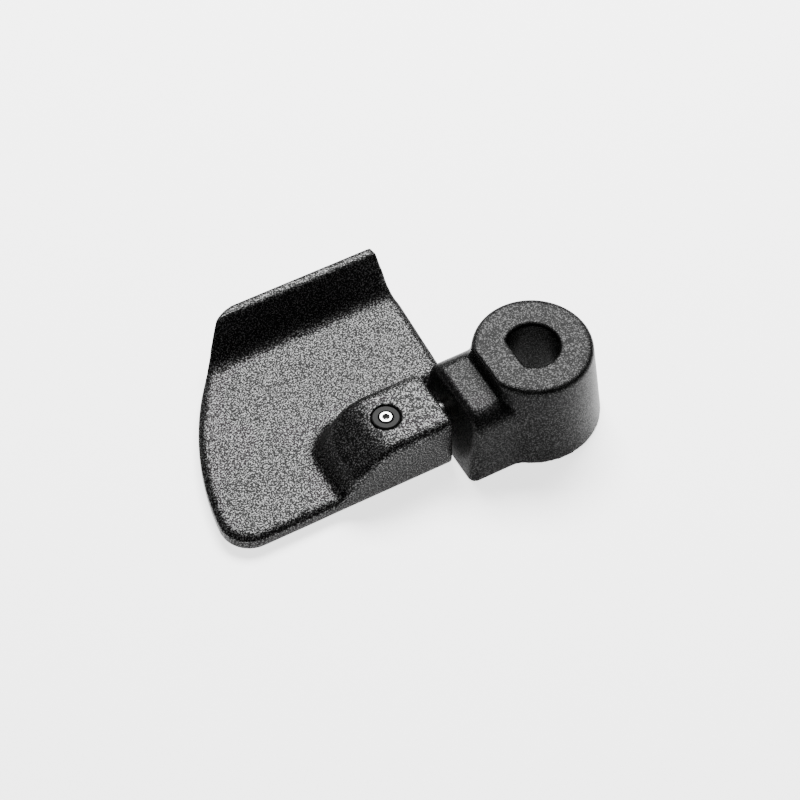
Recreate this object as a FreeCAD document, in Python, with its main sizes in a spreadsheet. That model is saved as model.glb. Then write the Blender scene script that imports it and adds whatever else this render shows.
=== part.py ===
"""Folding kneading paddle for a bread maker, millimetres.

The origin is on the drive shaft's axis at the hub's underside. +Z is up along that axis, the blade
reaches out towards -X and its lip is on the +Y side. The hinge axis runs along X.
"""
import FreeCAD, Part
import math
import os

import Sketcher

os.makedirs("parts", exist_ok=True)
doc = FreeCAD.newDocument("kneading_paddle")

# ---------------------------------------------------------------- driving dimensions
SIZES = {
    # drive hub
    "hub_height": 15.3,
    "hub_base_radius": 11.1,
    "hub_draft": 7.0,
    "hub_rim_round": 0.8,
    "socket_radius": 4.1,
    "socket_flat": 3.1,
    "socket_chamfer": 0.3,
    "leadin_radius": 4.6,
    "leadin_depth": 4.0,
    # hinge arm, cast with the hub
    "arm_roof": 12.35,
    "arm_end": 15.25,
    "arm_half_width": 8.7,
    "arm_blend_start": 8.2,
    "arm_blend_radius": 5.0,
    "arm_shoulder_round": 3.4,
    "arm_end_round": 1.3,
    "step_wall": 8.3,
    # hinge
    "hinge_y": 2.1,
    "hinge_z": 5.2,
    "shaft_radius": 2.0,
    "shaft_inner_end": 5.4,
    "shaft_outer_end": 28.7,
    "shaft_chamfer": 0.3,
    "groove_radius": 1.1,
    "groove_half_width": 0.95,
    "groove_play": 0.06,
    "dowel_x": 10.4,
    "dowel_radius": 0.8,
    "dowel_foot": 0.3,
    "dowel_top": 5.4,
    # blade casting
    "mouth": 15.75,
    "blade_floor": 0.3,
    "plate_top": 3.0,
    "sweep_radius": 50.4,
    "sweep_centre": 2.9,
    "near_edge": 3.9,
    "near_corner_round": 5.0,
    "notch_edge": 10.3,
    "inner_edge": 9.2,
    "inner_edge_far": 8.5,
    "inner_edge_tip": 9.4,
    "far_corner_round": 7.0,
    # lip along the far edge
    "lip_start": 26.4,
    "lip_root_radius": 3.5,
    "lip_slope": 55.0,
    "lip_back_slope": 62.0,
    "lip_back_radius": 5.0,
    "lip_top": 9.0,
    "lip_back": 34.3,
    # knuckle on the blade
    "knuckle_far": 9.0,
    "knuckle_roof": 10.3,
    "knuckle_draft": 3.0,
    "brow_x": 26.8,
    "ridge_x": 32.4,
    "ridge_z": 7.0,
    "nose_foot_x": 34.7,
    "nose_corner_round": 5.0,
    "brow_round": 8.0,
    "near_shoulder_round": 1.3,
    "far_shoulder_round": 2.2,
    "foot_round": 2.0,
    # bearing bushes
    "bush_radius": 2.8,
    "bush_play": 0.04,
    "bush_length": 5.2,
    "tail_bush_length": 3.6,
    "bush_recess": 0.3,
    "bore_end": 29.2,
    # retaining pin and its ring
    "pin_x": 24.2,
    "pin_head_radius": 1.05,
    "pin_tip_radius": 0.8,
    "pin_tip_gap": 0.2,
    "pin_head_proud": 0.1,
    "dish_radius": 0.6,
    "dish_depth": 0.45,
    "ring_radius": 2.15,
    "ring_bore": 1.25,
    "ring_depth": 1.1,
    "ring_edge": 0.15,
    "ring_seat_radius": 2.3,
}

sheet = doc.addObject("Spreadsheet::Sheet", "Dims")
for row, (alias, number) in enumerate(SIZES.items(), start=1):
    sheet.set(f"A{row}", alias)
    sheet.set(f"B{row}", str(number))
    sheet.setAlias(f"B{row}", alias)
doc.recompute()


def value(expression):
    """The number that an expression on the sheet's cells gives."""
    result = sheet.evalExpression(expression)
    return float(getattr(result, "Value", result))


# ---------------------------------------------------------------- sketch and feature helpers
def make_body(label):
    body = doc.addObject("PartDesign::Body", label)
    body.Label = label
    return body


def new_sketch(body, name, role, lift="0"):
    """A sketch on one of the body's own origin planes, lifted along that plane's normal."""
    plane = next(f for f in body.Origin.OriginFeatures if f.Role == role)
    sketch = body.newObject("Sketcher::SketchObject", name)
    sketch.AttachmentSupport = [(plane, "")]
    sketch.MapMode = "FlatFace"
    sketch.setExpression("AttachmentOffset.Base.z", lift)
    return sketch


def bind(sketch, index, expression):
    sketch.setExpression(f"Constraints[{index}]", expression)


def add_outline(sketch, corners):
    """A closed outline. Each corner is (x, y) or (x, y, radius, side): expressions for its place,
    and for the arc that leaves it, whose centre lies to the left (side 1) or the right (side -1).
    """
    count = len(corners)
    points = [FreeCAD.Vector(value(c[0]), value(c[1]), 0) for c in corners]
    first = sketch.GeometryCount
    starts, ends = [], []
    for i, corner in enumerate(corners):
        a, b = points[i], points[(i + 1) % count]
        if len(corner) == 2:
            sketch.addGeometry(Part.LineSegment(a, b), False)
            starts.append(1)
            ends.append(2)
            continue
        radius, side = value(corner[2]), corner[3]
        half = (b - a) * 0.5
        left = FreeCAD.Vector(-half.y, half.x, 0).normalize()
        reach = math.sqrt(max(radius**2 - half.Length**2, 0.0))
        centre = a + half + left * reach * side
        from_a = math.atan2(a.y - centre.y, a.x - centre.x)
        from_b = math.atan2(b.y - centre.y, b.x - centre.x)
        circle = Part.Circle(centre, FreeCAD.Vector(0, 0, 1), radius)
        if side > 0:
            sketch.addGeometry(Part.ArcOfCircle(circle, from_a, from_b), False)
            starts.append(1)
            ends.append(2)
        else:
            sketch.addGeometry(Part.ArcOfCircle(circle, from_b, from_a), False)
            starts.append(2)
            ends.append(1)
    for i, corner in enumerate(corners):
        here = first + i
        before = first + (i - 1) % count
        last = (i - 1) % count
        sketch.addConstraint(Sketcher.Constraint("Coincident", before, ends[last], here, starts[i]))
        for kind, text, number in (
            ("DistanceX", corner[0], points[i].x),
            ("DistanceY", corner[1], points[i].y),
        ):
            index = sketch.addConstraint(Sketcher.Constraint(kind, here, starts[i], number))
            bind(sketch, index, text)
        if len(corner) == 4:
            index = sketch.addConstraint(Sketcher.Constraint("Radius", here, value(corner[2])))
            bind(sketch, index, corner[2])


def add_circle(sketch, x, y, radius):
    centre = FreeCAD.Vector(value(x), value(y), 0)
    circle = Part.Circle(centre, FreeCAD.Vector(0, 0, 1), value(radius))
    here = sketch.addGeometry(circle, False)
    for kind, text, number in (("DistanceX", x, centre.x), ("DistanceY", y, centre.y)):
        index = sketch.addConstraint(Sketcher.Constraint(kind, here, 3, number))
        bind(sketch, index, text)
    index = sketch.addConstraint(Sketcher.Constraint("Radius", here, value(radius)))
    bind(sketch, index, radius)


def pad(body, name, sketch, length):
    feature = body.newObject("PartDesign::Pad", name)
    feature.Profile = sketch
    feature.setExpression("Length", length)
    doc.recompute()
    return feature


def pocket(body, name, sketch, length=None, reverse=False, both=False):
    """Cut along the sketch's normal: backwards, or forwards where reverse is set."""
    before = body.Shape.Volume
    feature = body.newObject("PartDesign::Pocket", name)
    feature.Profile = sketch
    feature.Reversed = reverse
    if both:
        feature.Midplane = True
    if length is None:
        feature.Type = 1
    else:
        feature.setExpression("Length", length)
    doc.recompute()
    if not body.Shape.Volume < before - 1e-6:
        raise RuntimeError(f"{name} cuts nothing")
    return feature


def revolve(body, name, sketch):
    feature = body.newObject("PartDesign::Revolution", name)
    feature.Profile = sketch
    feature.ReferenceAxis = (sketch, ["V_Axis"])
    feature.Angle = 360
    doc.recompute()
    return feature


def edges_where(shape, test):
    """Names of the edges whose middle point passes the test."""
    names = []
    for number, edge in enumerate(shape.Edges, start=1):
        middle = edge.valueAt((edge.FirstParameter + edge.LastParameter) / 2)
        if test(middle, edge):
            names.append(f"Edge{number}")
    return names


def faces_where(shape, test):
    names = []
    for number, face in enumerate(shape.Faces, start=1):
        if test(face.CenterOfMass, face):
            names.append(f"Face{number}")
    return names


def soften(body, name, test, radius):
    """Round the edges that pass the test."""
    base = body.Tip
    names = edges_where(base.Shape, test)
    if not names:
        raise RuntimeError(f"{name} finds no edge")
    feature = body.newObject("PartDesign::Fillet", name)
    feature.Base = (base, names)
    feature.setExpression("Radius", radius)
    doc.recompute()
    return feature


def new_chamfer(body, name, test, size):
    """Bevel the edges that pass the test."""
    base = body.Tip
    feature = body.newObject("PartDesign::Chamfer", name)
    feature.Base = (base, edges_where(base.Shape, test))
    feature.setExpression("Size", size)
    doc.recompute()
    return feature


def near(a, b, tolerance=0.05):
    return abs(a - b) <= tolerance


# ---------------------------------------------------------------- hub and hinge arm, one casting
def make_hub():
    hub = make_body("hub")

    # the arm's outline at its foot, with a hollow blend into the hub on either side
    blend_x = "-Dims.arm_blend_start"
    blend_y = "Dims.arm_half_width + Dims.arm_blend_radius"
    reach = f"sqrt(Dims.arm_blend_start^2 + ({blend_y})^2)"
    inside_x = f"{blend_x} * (1 - Dims.arm_blend_radius / {reach})"
    inside_y = f"({blend_y}) * (1 - Dims.arm_blend_radius / {reach})"
    outline = new_sketch(hub, "arm_outline", "XY_Plane")
    add_outline(
        outline,
        [
            ("-Dims.arm_end", "-Dims.arm_half_width"),
            (blend_x, "-Dims.arm_half_width", "Dims.arm_blend_radius", -1),
            (inside_x, f"-{inside_y}"),
            ("-Dims.socket_radius", "0"),
            (inside_x, inside_y, "Dims.arm_blend_radius", -1),
            (blend_x, "Dims.arm_half_width"),
            ("-Dims.arm_end", "Dims.arm_half_width"),
        ],
    )
    arm = pad(hub, "arm", outline, "Dims.arm_roof")

    # every outer wall leans in by the casting's draft
    half_width, end = value("Dims.arm_half_width"), value("Dims.arm_end")

    def is_outer_wall(centre, face):
        u, v = face.Surface.parameter(centre)
        normal = face.normalAt(u, v)
        return abs(normal.z) < 0.1 and (centre.x < -end + 0.1 or abs(centre.y) > half_width - 1.6)

    draft = hub.newObject("PartDesign::Draft", "arm_draft")
    draft.Base = (arm, faces_where(arm.Shape, is_outer_wall))
    draft.NeutralPlane = (arm, faces_where(arm.Shape, lambda c, f: near(c.z, 0)))
    draft.setExpression("Angle", "Dims.hub_draft")
    doc.recompute()

    # rounded shoulders, cut along the arm
    rise = "Dims.arm_shoulder_round"
    centre_z = f"(Dims.arm_roof - {rise})"
    centre_y = f"(Dims.arm_half_width - {centre_z} * tan(Dims.hub_draft) - {rise} / cos(Dims.hub_draft))"
    touch_y = f"({centre_y} + {rise} * cos(Dims.hub_draft))"
    touch_z = f"({centre_z} + {rise} * sin(Dims.hub_draft))"
    for side, name in ((1, "far"), (-1, "near")):
        shoulder = new_sketch(hub, f"{name}_shoulder", "YZ_Plane")
        outer = f"{side} * Dims.hub_base_radius"
        add_outline(
            shoulder,
            [
                (f"{side} * {centre_y}", "Dims.arm_roof", rise, -side),
                (f"{side} * {touch_y}", touch_z),
                (outer, f"{touch_z} - 1"),
                (outer, "Dims.hub_height"),
                (f"{side} * {centre_y}", "Dims.hub_height"),
            ],
        )
        pocket(hub, f"{name}_shoulder_cut", shoulder, reverse=False)
    soften(
        hub,
        "arm_end_edges",
        lambda p, e: p.x < -end + 2.5 and p.z > 1 and abs(e.BoundBox.XLength) < 2 and e.BoundBox.ZMax < 13,
        "Dims.arm_end_round",
    )

    # the hub itself, turned: a drafted cone with a rounded rim
    rim = "Dims.hub_rim_round"
    rim_z = f"(Dims.hub_height - {rim})"
    rim_x = f"(Dims.hub_base_radius - {rim_z} * tan(Dims.hub_draft) - {rim} / cos(Dims.hub_draft))"
    profile = new_sketch(hub, "hub_profile", "XZ_Plane")
    add_outline(
        profile,
        [
            ("0", "0"),
            ("Dims.hub_base_radius", "0"),
            (
                f"{rim_x} + {rim} * cos(Dims.hub_draft)",
                f"{rim_z} + {rim} * sin(Dims.hub_draft)",
                rim,
                1,
            ),
            (rim_x, "Dims.hub_height"),
            ("0", "Dims.hub_height"),
        ],
    )
    revolve(hub, "hub_turned", profile)

    # the step down to the arm's roof
    step = new_sketch(hub, "step_outline", "XZ_Plane")
    add_outline(
        step,
        [
            ("-Dims.step_wall", "Dims.arm_roof"),
            ("-Dims.step_wall", "2 * Dims.hub_height"),
            ("-2 * Dims.hub_base_radius", "2 * Dims.hub_height"),
            ("-2 * Dims.hub_base_radius", "Dims.arm_roof"),
        ],
    )
    pocket(hub, "step_cut", step, "4 * Dims.hub_base_radius", both=True)

    # D-shaped drive socket right through, with a round lead-in at its foot
    socket = new_sketch(hub, "socket_outline", "XY_Plane")
    chord = "sqrt(Dims.socket_radius^2 - Dims.socket_flat^2)"
    add_outline(
        socket,
        [
            ("-Dims.socket_flat", f"-{chord}", "Dims.socket_radius", 1),
            ("Dims.socket_radius", "0", "Dims.socket_radius", 1),
            ("-Dims.socket_flat", chord),
        ],
    )
    pocket(hub, "socket", socket, reverse=True)
    leadin = new_sketch(hub, "leadin_outline", "XY_Plane")
    add_circle(leadin, "0", "0", "Dims.leadin_radius")
    pocket(hub, "leadin", leadin, "Dims.leadin_depth", reverse=True)
    top = value("Dims.hub_height")
    socket_radius = value("Dims.socket_radius")
    new_chamfer(
        hub,
        "socket_rim",
        lambda p, e: near(p.z, top) and math.hypot(p.x, p.y) < socket_radius + 0.1,
        "Dims.socket_chamfer",
    )

    # blind hole for the hinge shaft, and the dowel's hole up from the underside
    shaft_hole = new_sketch(hub, "shaft_hole_outline", "YZ_Plane", "-Dims.shaft_inner_end")
    add_circle(shaft_hole, "Dims.hinge_y", "Dims.hinge_z", "Dims.shaft_radius")
    pocket(hub, "shaft_hole", shaft_hole)
    dowel_hole = new_sketch(hub, "dowel_hole_outline", "XY_Plane")
    add_circle(dowel_hole, "-Dims.dowel_x", "Dims.hinge_y", "Dims.dowel_radius")
    pocket(hub, "dowel_hole", dowel_hole, "Dims.hinge_z", reverse=True)
    return hub


# ---------------------------------------------------------------- blade, one casting
def add_knuckle(blade):
    """The block that holds the hinge shaft, with a sloping brow and a steep nose."""
    # its section along the hinge, with drafted walls
    low, high = "Dims.blade_floor", "Dims.knuckle_roof"
    taper = f"(({high} - {low}) * tan(Dims.knuckle_draft))"
    section = new_sketch(blade, "knuckle_section", "YZ_Plane", "-Dims.mouth")
    add_outline(
        section,
        [
            ("-Dims.near_edge", low),
            ("Dims.knuckle_far", low),
            (f"Dims.knuckle_far - {taper}", high),
            ("-Dims.near_edge", high),
        ],
    )
    knuckle = blade.newObject("PartDesign::Pad", "knuckle")
    knuckle.Profile = section
    knuckle.Reversed = True
    knuckle.setExpression("Length", "Dims.ridge_x")
    doc.recompute()

    # the steep nose
    lean = "((Dims.nose_foot_x - Dims.ridge_x) / (Dims.ridge_z - Dims.plate_top))"
    nose_low = f"(-Dims.ridge_x - {lean} * Dims.ridge_z)"
    nose_high = f"(-Dims.ridge_x + {lean} * Dims.ridge_z)"
    nose = new_sketch(blade, "nose_outline", "XZ_Plane")
    add_outline(
        nose,
        [
            (nose_low, "0"),
            (nose_high, "2 * Dims.ridge_z"),
            ("-3 * Dims.ridge_x", "2 * Dims.ridge_z"),
            ("-3 * Dims.ridge_x", "0"),
        ],
    )
    pocket(blade, "nose_cut", nose, "4 * Dims.knuckle_far", both=True)
    roof_z = value("Dims.knuckle_roof")
    near_y, far_y = -value("Dims.near_edge"), value("Dims.knuckle_far")
    brow_x = -value("Dims.brow_x")
    soften(
        blade,
        "nose_corner",
        lambda p, e: p.y > far_y - 1 and p.x < brow_x - 2 and e.BoundBox.ZLength > 2,
        "Dims.nose_corner_round",
    )
    brow = new_sketch(blade, "brow_outline", "XZ_Plane")
    fall = "((Dims.knuckle_roof - Dims.ridge_z) / (Dims.ridge_x - Dims.brow_x))"
    add_outline(
        brow,
        [
            ("-Dims.brow_x", "Dims.knuckle_roof"),
            ("-Dims.brow_x", "2 * Dims.knuckle_roof"),
            ("-Dims.brow_x - 10", "2 * Dims.knuckle_roof"),
            ("-Dims.brow_x - 10", f"Dims.knuckle_roof - 10 * {fall}"),
        ],
    )
    pocket(blade, "brow_cut", brow, "4 * Dims.knuckle_far", both=True)
    soften(
        blade,
        "brow_edge",
        lambda p, e: near(p.x, brow_x) and near(p.z, roof_z),
        "Dims.brow_round",
    )
    mouth_x = -value("Dims.mouth")
    soften(
        blade,
        "far_shoulder",
        lambda p, e: near(p.z, roof_z) and p.y > far_y - 1 and p.x < mouth_x - 1,
        "Dims.far_shoulder_round",
    )
    soften(
        blade,
        "near_shoulder",
        lambda p, e: near(p.z, roof_z) and p.y < near_y + 1 and p.x < mouth_x - 1,
        "Dims.near_shoulder_round",
    )
    return blade


def add_plate(blade):
    """The flat plate and its lip: one section along the hinge, trimmed to the plan outline."""
    root, slope, back = "Dims.lip_root_radius", "Dims.lip_slope", "Dims.lip_back_slope"
    root_z = f"(Dims.plate_top + {root})"
    face_y = f"(Dims.lip_start + {root} * sin({slope}))"
    face_z = f"({root_z} - {root} * cos({slope}))"
    crest_y = f"({face_y} + (Dims.lip_top - {face_z}) / tan({slope}))"
    heel = "Dims.lip_back_radius"
    heel_z = f"(Dims.blade_floor + {heel} * (1 - cos({back})))"
    heel_y = f"(Dims.lip_back - (Dims.lip_top - {heel_z}) / tan({back}))"
    profile = new_sketch(blade, "plate_profile", "YZ_Plane")
    add_outline(
        profile,
        [
            ("-Dims.near_edge", "Dims.blade_floor"),
            (f"{heel_y} - {heel} * sin({back})", "Dims.blade_floor", heel, 1),
            (heel_y, heel_z),
            ("Dims.lip_back", "Dims.lip_top"),
            (crest_y, "Dims.lip_top"),
            (face_y, face_z, root, -1),
            ("Dims.lip_start", "Dims.plate_top"),
            ("-Dims.near_edge", "Dims.plate_top"),
        ],
    )
    plate = blade.newObject("PartDesign::Pad", "plate")
    plate.Profile = profile
    plate.Reversed = True
    plate.setExpression("Length", "1.2 * Dims.sweep_radius")
    doc.recompute()

    near_round, far_round, sweep = (
        "Dims.near_corner_round",
        "Dims.far_corner_round",
        "Dims.sweep_radius",
    )
    near_rise = near_round
    far_rise = f"(Dims.lip_back + Dims.near_edge - {far_round})"
    near_reach = f"sqrt(({sweep} - {near_round})^2 - {near_rise}^2)"
    far_reach = f"sqrt(({sweep} - {far_round})^2 - {far_rise}^2)"
    near_scale = f"{sweep} / ({sweep} - {near_round})"
    far_scale = f"{sweep} / ({sweep} - {far_round})"
    trim = new_sketch(blade, "plan_outline", "XY_Plane")
    add_outline(
        trim,
        [
            ("-Dims.mouth", "-Dims.near_edge"),
            ("-Dims.mouth", "Dims.notch_edge"),
            ("-Dims.inner_edge", "Dims.notch_edge"),
            ("-Dims.inner_edge_far", "Dims.lip_start"),
            ("-Dims.inner_edge_tip", "Dims.lip_back"),
            (f"-Dims.sweep_centre - {far_reach}", "Dims.lip_back", far_round, 1),
            (
                f"-Dims.sweep_centre - {far_reach} * {far_scale}",
                f"{far_rise} * {far_scale} - Dims.near_edge",
                sweep,
                1,
            ),
            (
                f"-Dims.sweep_centre - {near_reach} * {near_scale}",
                f"{near_rise} * {near_scale} - Dims.near_edge",
                near_round,
                1,
            ),
            (f"-Dims.sweep_centre - {near_reach}", "-Dims.near_edge"),
        ],
    )
    beyond = f"(1.3 * {sweep})"
    add_outline(
        trim,
        [
            (beyond, f"-{beyond}"),
            (beyond, beyond),
            (f"-{beyond}", beyond),
            (f"-{beyond}", f"-{beyond}"),
        ],
    )
    pocket(blade, "plan_trim", trim, reverse=True)
    return blade


def blend_foot(blade):
    """Hollow blend between the knuckle's foot and the plate."""
    top = value("Dims.plate_top")
    mouth_x, near_y = -value("Dims.mouth"), -value("Dims.near_edge")
    ridge_x = -value("Dims.ridge_x")

    def at_foot(p, _edge):
        on_far_wall = p.x < mouth_x - 1 and 8 < p.y < 9.5
        on_nose = ridge_x - 2 < p.x < ridge_x + 2 and near_y + 1 < p.y < 9
        return near(p.z, top) and (on_far_wall or on_nose)

    soften(blade, "foot_blend", at_foot, "Dims.foot_round")


def bore_knuckle(blade):
    """Blind bearing bore from the mouth, and the stepped hole for the retaining pin."""
    bore = new_sketch(blade, "bore_outline", "YZ_Plane", "-Dims.bore_end")
    add_circle(bore, "Dims.hinge_y", "Dims.hinge_z", "Dims.bush_radius")
    pocket(blade, "bore", bore, "Dims.bore_end - Dims.mouth + 1", reverse=True)

    seat = new_sketch(blade, "ring_seat_outline", "XY_Plane", "Dims.knuckle_roof - Dims.ring_depth")
    add_circle(seat, "-Dims.pin_x", "Dims.hinge_y", "Dims.ring_seat_radius")
    pocket(blade, "ring_seat", seat, "2 * Dims.ring_depth", reverse=True)
    hole = new_sketch(blade, "pin_hole_outline", "XY_Plane", "Dims.hinge_z")
    add_circle(hole, "-Dims.pin_x", "Dims.hinge_y", "Dims.pin_head_radius")
    pocket(blade, "pin_hole", hole, "2 * Dims.knuckle_roof", reverse=True)


def make_blade():
    blade = make_body("blade")
    add_knuckle(blade)
    add_plate(blade)
    blend_foot(blade)
    bore_knuckle(blade)
    return blade


# ---------------------------------------------------------------- turned and pressed pieces
def make_shaft():
    """Hinge shaft, fixed in the arm. A part-round groove lets the retaining pin swing a quarter
    turn and keeps the blade on. Its own origin is where the pin's axis crosses it."""
    shaft = make_body("hinge_shaft")
    shaft.setExpression("Placement.Base.x", "-Dims.pin_x")
    shaft.setExpression("Placement.Base.y", "Dims.hinge_y")
    shaft.setExpression("Placement.Base.z", "Dims.hinge_z")
    tail = "Dims.shaft_outer_end - Dims.pin_x"
    section = new_sketch(shaft, "shaft_section", "YZ_Plane", f"-({tail})")
    add_circle(section, "0", "0", "Dims.shaft_radius")
    pad(shaft, "rod", section, "Dims.shaft_outer_end - Dims.shaft_inner_end")
    new_chamfer(shaft, "rod_ends", lambda p, e: len(e.Vertexes) == 1, "Dims.shaft_chamfer")

    stop = "(Dims.pin_tip_radius + Dims.groove_play)"
    lift = f"sqrt(Dims.groove_radius^2 - {stop}^2)"
    beyond = "(2 * Dims.shaft_radius)"
    groove = new_sketch(shaft, "groove_section", "YZ_Plane")
    add_outline(
        groove,
        [
            (stop, lift),
            (stop, beyond),
            (f"-{beyond}", beyond),
            (f"-{beyond}", f"-{stop}"),
            (f"-{lift}", f"-{stop}", "Dims.groove_radius", -1),
        ],
    )
    pocket(shaft, "groove", groove, "2 * Dims.groove_half_width", both=True)
    dowel_hole = new_sketch(shaft, "dowel_hole_outline", "XY_Plane", "-2 * Dims.shaft_radius")
    add_circle(dowel_hole, "Dims.pin_x - Dims.dowel_x", "0", "Dims.dowel_radius")
    depth = "Dims.dowel_top - Dims.hinge_z + 2 * Dims.shaft_radius"
    pocket(shaft, "dowel_hole", dowel_hole, depth, reverse=True)
    return shaft


def make_bush(label, far_end, length):
    """A plain bearing bush on the hinge axis, from its far end back towards the mouth."""
    bush = make_body(label)
    bush.setExpression("Placement.Base.x", f"-({far_end})")
    bush.setExpression("Placement.Base.y", "Dims.hinge_y")
    bush.setExpression("Placement.Base.z", "Dims.hinge_z")
    section = new_sketch(bush, f"{label}_section", "YZ_Plane")
    add_circle(section, "0", "0", "Dims.bush_radius")
    add_circle(section, "0", "0", "Dims.shaft_radius + Dims.bush_play")
    pad(bush, f"{label}_pad", section, length)
    return bush


def make_turned(label, x, y, z, corners):
    """A turned piece: a half section revolved about its own Z axis, placed at x, y, z."""
    body = make_body(label)
    for axis, text in (("x", x), ("y", y), ("z", z)):
        body.setExpression(f"Placement.Base.{axis}", text)
    section = new_sketch(body, f"{label}_section", "XZ_Plane")
    add_outline(section, corners)
    revolve(body, f"{label}_turned", section)
    return body


def make_retaining_pin():
    """Its head shows on the knuckle's roof with a dish in it. Its tip runs in the shaft's groove."""
    top = "(Dims.knuckle_roof + Dims.pin_head_proud - Dims.hinge_z)"
    tip = "(Dims.groove_radius + Dims.pin_tip_gap)"
    neck = "(Dims.bush_radius + 0.3)"
    corner = "(Dims.pin_head_radius - Dims.dish_radius) / 3"
    return make_turned(
        "retaining_pin",
        "-Dims.pin_x",
        "Dims.hinge_y",
        "Dims.hinge_z",
        [
            ("0", tip),
            ("Dims.pin_tip_radius", tip),
            ("Dims.pin_tip_radius", neck),
            ("Dims.pin_head_radius", neck),
            ("Dims.pin_head_radius", f"{top} - {corner}"),
            (f"Dims.pin_head_radius - {corner}", top),
            ("Dims.dish_radius", top),
            ("0", f"{top} - Dims.dish_depth"),
        ],
    )


def make_pin_ring():
    top = "Dims.ring_depth"
    return make_turned(
        "pin_ring",
        "-Dims.pin_x",
        "Dims.hinge_y",
        "Dims.knuckle_roof - Dims.ring_depth",
        [
            ("Dims.ring_bore", "0"),
            ("Dims.ring_radius", "0"),
            ("Dims.ring_radius", f"{top} - Dims.ring_edge"),
            ("Dims.ring_radius - Dims.ring_edge", top),
            ("Dims.ring_bore", top),
        ],
    )


def make_dowel():
    foot, top = "Dims.dowel_foot", "Dims.dowel_top"
    edge = "Dims.dowel_radius / 4"
    return make_turned(
        "anchor_dowel",
        "-Dims.dowel_x",
        "Dims.hinge_y",
        "0",
        [
            ("0", foot),
            (f"Dims.dowel_radius - {edge}", foot),
            ("Dims.dowel_radius", f"{foot} + {edge}"),
            ("Dims.dowel_radius", top),
            ("0", top),
        ],
    )


pieces = [
    make_hub(),
    make_blade(),
    make_shaft(),
    make_dowel(),
    make_bush("bush_inboard", "Dims.mouth + Dims.bush_recess + Dims.bush_length", "Dims.bush_length"),
    make_bush("bush_outboard", "Dims.bore_end", "Dims.tail_bush_length"),
    make_retaining_pin(),
    make_pin_ring(),
]
doc.recompute()

for item in doc.Objects:
    if "Invalid" in item.State or "Error" in item.State:
        raise RuntimeError(f"{item.Name} did not compute")
for piece in pieces:
    if piece.Shape.isNull() or not piece.Shape.isValid():
        raise RuntimeError(f"{piece.Label} has no valid shape")
for piece in pieces:
    piece.Shape.exportStep(f"parts/{piece.Label}.step")
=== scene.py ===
"""Studio view of the folding kneading paddle, in metres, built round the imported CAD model."""

import bpy
import numpy as np
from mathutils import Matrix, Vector
from mathutils.kdtree import KDTree


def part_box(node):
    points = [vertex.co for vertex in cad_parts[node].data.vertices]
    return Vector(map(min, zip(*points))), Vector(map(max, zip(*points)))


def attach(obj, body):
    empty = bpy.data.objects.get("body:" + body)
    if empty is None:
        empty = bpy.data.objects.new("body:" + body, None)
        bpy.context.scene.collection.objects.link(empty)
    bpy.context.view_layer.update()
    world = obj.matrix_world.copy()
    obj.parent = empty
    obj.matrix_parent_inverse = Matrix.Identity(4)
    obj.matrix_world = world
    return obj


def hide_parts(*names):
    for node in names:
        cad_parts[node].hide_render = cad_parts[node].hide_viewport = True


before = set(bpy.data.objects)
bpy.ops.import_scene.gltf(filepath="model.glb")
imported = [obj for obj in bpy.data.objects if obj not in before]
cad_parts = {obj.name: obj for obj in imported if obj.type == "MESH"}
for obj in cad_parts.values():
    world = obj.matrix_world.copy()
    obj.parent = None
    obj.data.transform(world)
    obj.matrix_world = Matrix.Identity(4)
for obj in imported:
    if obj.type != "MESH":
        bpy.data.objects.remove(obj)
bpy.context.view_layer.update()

MM = 0.001
VOXEL = 0.22 * MM           # mesh size of the softened castings
BLADE_ROUNDS = 38           # smoothing passes: more passes make softer edges
HUB_ROUNDS = 14
RIM_RADIUS = 1.1 * MM       # the plate's top edge
SHOULDER_RADIUS = 2.4 * MM  # the knuckle's top edge on the far side
BELLY_RADIUS = 0.6 * MM     # the blade's bottom edge on the near side
BELLY_FADE = 4.0 * MM       # length over which that edge goes from faint to full
BELLY_FAINT = 0.35
WALL_UPNESS = 0.3           # a surface facing up less than this is a wall
RIM_WALL_HEIGHT = 1.5 * MM  # low part of the plate's walls, which gives its outline
SEAT_KEEP = 2.6 * MM        # kept crisp round the pin
BEARING_KEEP = 2.95 * MM    # kept crisp round the bearing bore
SOCKET_KEEP = 4.75 * MM     # kept crisp round the drive socket
SHAFT_KEEP = 2.2 * MM       # kept crisp round the shaft's hole in the arm
SHAFT_HOLE_X = -5.0 * MM    # inner end of that hole
FLECKS_PER_METRE = 4600.0
FLOOR_SIZE = 4.0
FLOOR_DROP = 0.02 * MM      # keeps the floor clear of the hub's underside


# ---------------------------------------------------------------- places read from the frame
blade_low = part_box("blade")[0]
pin_low, pin_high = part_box("retaining_pin")
shaft_low, shaft_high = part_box("hinge_shaft")
pin_axis = (pin_low + pin_high) / 2
hinge_axis = (shaft_low + shaft_high) / 2
NOSE_X = pin_axis.x - 12.0 * MM           # foot of the knuckle's nose
KNUCKLE_FAR_Y = hinge_axis.y + 8.0 * MM   # just beyond the knuckle's far wall
KNUCKLE_MID_Z = hinge_axis.z + 1.8 * MM   # between the hinge axis and the knuckle's roof


# ---------------------------------------------------------------- node helpers
def new_material(name):
    """A material, its node tree and its Principled shader."""
    material = bpy.data.materials.new(name)
    material.use_nodes = True
    tree = material.node_tree
    return material, tree, tree.nodes["Principled BSDF"]


def noise(tree, vector, scale, detail, roughness):
    """A noise pattern, scale in features per metre."""
    node = tree.nodes.new("ShaderNodeTexNoise")
    node.inputs["Scale"].default_value = scale
    node.inputs["Detail"].default_value = detail
    node.inputs["Roughness"].default_value = roughness
    tree.links.new(vector, node.inputs["Vector"])
    return node.outputs["Fac"]


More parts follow.
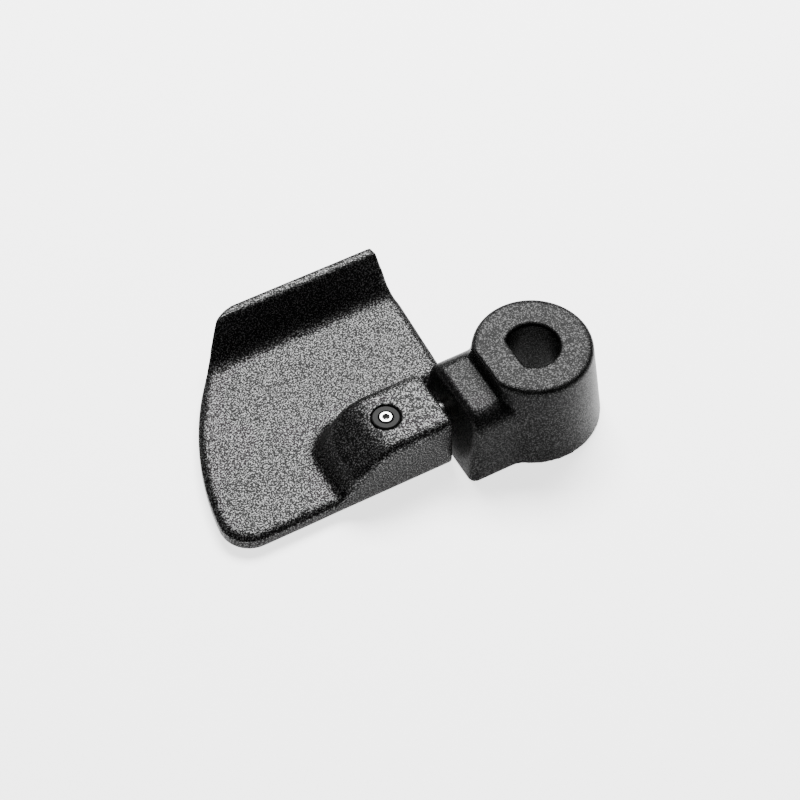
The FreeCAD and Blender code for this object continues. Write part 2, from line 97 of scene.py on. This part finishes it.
def ramp(tree, factor, stops):
    """A colour ramp. Each stop is a place and a colour: one grey, or three numbers."""
    node = tree.nodes.new("ShaderNodeValToRGB")
    elements = node.color_ramp.elements
    while len(elements) < len(stops):
        elements.new(0.5)
    for element, (place, colour) in zip(elements, stops):
        element.position = place
        rgb = colour if isinstance(colour, tuple) else (colour,) * 3
        element.color = (*rgb, 1.0)
    tree.links.new(factor, node.inputs["Fac"])
    return node.outputs["Color"]


def bump(tree, height, strength, distance):
    node = tree.nodes.new("ShaderNodeBump")
    node.inputs["Strength"].default_value = strength
    node.inputs["Distance"].default_value = distance
    tree.links.new(height, node.inputs["Height"])
    return node.outputs["Normal"]


# ---------------------------------------------------------------- materials
def coating(name, fleck, dimple):
    """Dark charcoal non-stick coating: a fine orange-peel skin full of small light flecks.

    fleck is how bright a fleck is, dimple how strong the orange peel is.
    """
    material, tree, shader = new_material(name)
    place = tree.nodes.new("ShaderNodeTexCoord").outputs["Object"]
    grains = noise(tree, place, FLECKS_PER_METRE, 1.0, 0.5)
    colour = ramp(tree, grains, [(0.38, 0.001), (0.52, 0.006), (0.66, fleck)])
    tree.links.new(colour, shader.inputs["Base Color"])
    tree.links.new(ramp(tree, grains, [(0.40, 0.0), (0.60, 1.0)]), shader.inputs["Metallic"])
    gloss = ramp(tree, grains, [(0.40, 0.36), (0.70, 0.50)])
    tree.links.new(gloss, shader.inputs["Roughness"])
    skin = noise(tree, place, FLECKS_PER_METRE * 0.8, 2.0, 0.6)
    tree.links.new(bump(tree, skin, dimple, 0.02 * MM), shader.inputs["Normal"])
    shader.inputs["Specular IOR Level"].default_value = 0.035
    return material


def steel_material():
    """Ground stainless steel with a fine grain."""
    material, tree, shader = new_material("polished_steel")
    place = tree.nodes.new("ShaderNodeTexCoord").outputs["Object"]
    marks = noise(tree, place, 5000.0, 3.0, 0.6)
    tree.links.new(ramp(tree, marks, [(0.3, 0.30), (0.7, 0.42)]), shader.inputs["Base Color"])
    tree.links.new(ramp(tree, marks, [(0.3, 0.20), (0.7, 0.32)]), shader.inputs["Roughness"])
    tree.links.new(bump(tree, marks, 0.15, 0.004 * MM), shader.inputs["Normal"])
    shader.inputs["Metallic"].default_value = 1.0
    return material


def ring_material():
    """The ring round the pin: dark and a little worn."""
    material, tree, shader = new_material("dark_ring")
    place = tree.nodes.new("ShaderNodeTexCoord").outputs["Object"]
    wear = noise(tree, place, 3200.0, 2.0, 0.6)
    tree.links.new(ramp(tree, wear, [(0.4, 0.004), (0.65, 0.016)]), shader.inputs["Base Color"])
    tree.links.new(ramp(tree, wear, [(0.3, 0.35), (0.7, 0.5)]), shader.inputs["Roughness"])
    tree.links.new(bump(tree, wear, 0.3, 0.01 * MM), shader.inputs["Normal"])
    shader.inputs["Specular IOR Level"].default_value = 0.05
    return material


def bush_material():
    """Warm off-white bearing polymer."""
    material, tree, shader = new_material("bearing_polymer")
    place = tree.nodes.new("ShaderNodeTexCoord").outputs["Object"]
    grain = noise(tree, place, 1500.0, 3.0, 0.6)
    colour = ramp(tree, grain, [(0.3, (0.50, 0.47, 0.40)), (0.7, (0.62, 0.59, 0.51))])
    tree.links.new(colour, shader.inputs["Base Color"])
    tree.links.new(bump(tree, grain, 0.2, 0.01 * MM), shader.inputs["Normal"])
    shader.inputs["Roughness"].default_value = 0.55
    return material


def floor_material():
    """Pale card that glows a little, so that it stays bright round the dark object."""
    material, tree, shader = new_material("pale_floor")
    place = tree.nodes.new("ShaderNodeTexCoord").outputs["Object"]
    tone = noise(tree, place, 6.0, 2.0, 0.5)
    tree.links.new(ramp(tree, tone, [(0.3, 0.90), (0.7, 0.92)]), shader.inputs["Base Color"])
    shader.inputs["Roughness"].default_value = 0.7
    shader.inputs["Specular IOR Level"].default_value = 0.2
    shader.inputs["Emission Color"].default_value = (1.0, 1.0, 1.0, 1.0)
    shader.inputs["Emission Strength"].default_value = 2.2
    return material


blade_coat = coating("blade_coating", 0.095, 0.55)
hub_coat = coating("hub_coating", 0.031, 0.45)
steel = steel_material()
MATERIALS = {
    "hub": hub_coat,
    "blade": blade_coat,
    "hinge_shaft": steel,
    "anchor_dowel": steel,
    "retaining_pin": steel,
    "pin_ring": ring_material(),
    "bush_inboard": bush_material(),
}
MATERIALS["bush_outboard"] = MATERIALS["bush_inboard"]
for node, material in MATERIALS.items():
    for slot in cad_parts[node].material_slots:
        slot.material = material


# ---------------------------------------------------------------- castings
def apply_modifier(piece, kind, **settings):
    modifier = piece.modifiers.new(kind.lower(), kind)
    for key, setting in settings.items():
        setattr(modifier, key, setting)
    bpy.context.view_layer.objects.active = piece
    with bpy.context.temp_override(object=piece, active_object=piece):
        bpy.ops.object.modifier_apply(modifier=modifier.name)


def read_points(mesh):
    points = np.empty(len(mesh.vertices) * 3)
    mesh.vertices.foreach_get("co", points)
    return points.reshape(-1, 3)


def read_upness(mesh):
    """How far each vertex faces upwards, from -1 to 1."""
    normals = np.empty(len(mesh.vertices) * 3)
    mesh.vertices.foreach_get("normal", normals)
    return normals.reshape(-1, 3)[:, 2]


def roll_rim(points, upness, radius):
    """Round the plate's top edge all the way along its outline, but not over the knuckle."""
    low_down = points[:, 2] < blade_low.z + RIM_WALL_HEIGHT
    walls = np.nonzero((abs(upness) < WALL_UPNESS) & low_down)[0]
    outline = KDTree(len(walls))
    for index in walls.tolist():
        outline.insert((points[index, 0], points[index, 1], 0.0), index)
    outline.balance()
    on_knuckle = (points[:, 0] > NOSE_X) & (points[:, 1] < KNUCKLE_FAR_Y)
    tops = np.nonzero((upness > WALL_UPNESS) & ~on_knuckle)[0]
    for index in tops.tolist():
        depth = outline.find((points[index, 0], points[index, 1], 0.0))[2]
        if depth < radius:
            points[index, 2] -= radius - (radius ** 2 - (radius - depth) ** 2) ** 0.5


def roll_shoulder(points, upness, radius):
    """Round the knuckle's long top edge on its far side."""
    edge_y = points[(points[:, 2] > KNUCKLE_MID_Z) & (points[:, 1] < KNUCKLE_FAR_Y), 1].max()
    on_roof = (upness > WALL_UPNESS) & (points[:, 1] <= edge_y) & (points[:, 2] > KNUCKLE_MID_Z)
    depth = np.clip(edge_y - points[:, 1], 0.0, radius)
    drop = radius - np.sqrt(radius ** 2 - (radius - depth) ** 2)
    points[on_roof, 2] -= drop[on_roof]


def roll_under(points, radius):
    """Round the long bottom edge on the near side: fully under the knuckle, faintly further out."""
    centre = np.array([blade_low.y + radius, blade_low.z + radius])
    away = points[:, 1:] - centre
    reach = np.linalg.norm(away, axis=1)
    under = (away < 0).all(axis=1) & (reach > radius)
    strength = np.clip((points[:, 0] - NOSE_X) / BELLY_FADE + 1.0, BELLY_FAINT, 1.0)
    pull = (1.0 - radius / np.maximum(reach, radius)) * strength
    points[under, 1:] -= (away * pull[:, None])[under]


def make_casting(node, coat, rounds, is_machined, reshape=None):
    """A cast piece with its edges rolled soft under the coating. Machined places stay crisp."""
    casting = bpy.data.objects.new(node + "_casting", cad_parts[node].data.copy())
    bpy.context.scene.collection.objects.link(casting)
    apply_modifier(casting, "REMESH", mode="VOXEL", voxel_size=VOXEL, use_smooth_shade=True)
    points = read_points(casting.data)
    if reshape:
        reshape(casting.data, points)
        casting.data.vertices.foreach_set("co", points.ravel())
    group = casting.vertex_groups.new(name="cast")
    group.add(np.nonzero(~is_machined(points))[0].tolist(), 1.0, "REPLACE")
    apply_modifier(casting, "SMOOTH", factor=0.5, iterations=rounds, vertex_group="cast")
    low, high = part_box(node)
    inside = np.clip(read_points(casting.data), low, high)
    casting.data.vertices.foreach_set("co", inside.ravel())
    casting.data.materials.clear()
    casting.data.materials.append(coat)
    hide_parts(node)
    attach(casting, node)


def from_hinge(points):
    """Distance of each point from the hinge axis."""
    return np.hypot(points[:, 1] - hinge_axis.y, points[:, 2] - hinge_axis.z)


def machined_on_blade(points):
    from_pin = np.hypot(points[:, 0] - pin_axis.x, points[:, 1] - pin_axis.y)
    at_seat = (from_pin < SEAT_KEEP) & (points[:, 2] > hinge_axis.z)
    in_bore = (from_hinge(points) < BEARING_KEEP) & (points[:, 0] > shaft_low.x - 1.0 * MM)
    return at_seat | in_bore


def machined_on_hub(points):
    in_socket = np.hypot(points[:, 0], points[:, 1]) < SOCKET_KEEP
    at_shaft = (points[:, 0] < SHAFT_HOLE_X) & (from_hinge(points) < SHAFT_KEEP)
    return in_socket | at_shaft


def reshape_blade(mesh, points):
    upness = read_upness(mesh)
    roll_rim(points, upness, RIM_RADIUS)
    roll_shoulder(points, upness, SHOULDER_RADIUS)
    roll_under(points, BELLY_RADIUS)


make_casting("blade", blade_coat, BLADE_ROUNDS, machined_on_blade, reshape_blade)
make_casting("hub", hub_coat, HUB_ROUNDS, machined_on_hub)


# ---------------------------------------------------------------- floor, light and camera
def make_floor():
    bpy.ops.mesh.primitive_plane_add(size=FLOOR_SIZE, location=(0, 0, -FLOOR_DROP))
    floor = bpy.context.object
    floor.name = "floor"
    floor.data.materials.append(floor_material())


def area_light(name, place, aim, size, power):
    data = bpy.data.lights.new(name, "AREA")
    data.shape = "RECTANGLE"
    data.size, data.size_y = size
    data.energy = power
    light = bpy.data.objects.new(name, data)
    light.location = place
    light.rotation_euler = (Vector(aim) - Vector(place)).to_track_quat("-Z", "Y").to_euler()
    bpy.context.scene.collection.objects.link(light)


make_floor()
world = bpy.data.worlds.new("world")
bpy.context.scene.world = world
world.use_nodes = True
background = world.node_tree.nodes["Background"]
background.inputs["Color"].default_value = (1, 1, 1, 1)
background.inputs["Strength"].default_value = 0.06

middle = (-0.02, 0.005, 0.0)
area_light("back_softbox", (0.13, 0.26, 0.42), middle, (0.34, 0.22), 10.0)

camera_data = bpy.data.cameras.new("camera")
camera_data.lens = 117.0
camera_data.sensor_width = 36.0
camera_data.clip_start = 0.01
camera = bpy.data.objects.new("camera", camera_data)
camera.location = (-0.13726, -0.20636, 0.32035)
aim = Vector((-0.0188, 0.0075, 0.0050))
camera.rotation_euler = (aim - camera.location).to_track_quat("-Z", "Y").to_euler()
bpy.context.scene.collection.objects.link(camera)
bpy.context.scene.camera = camera
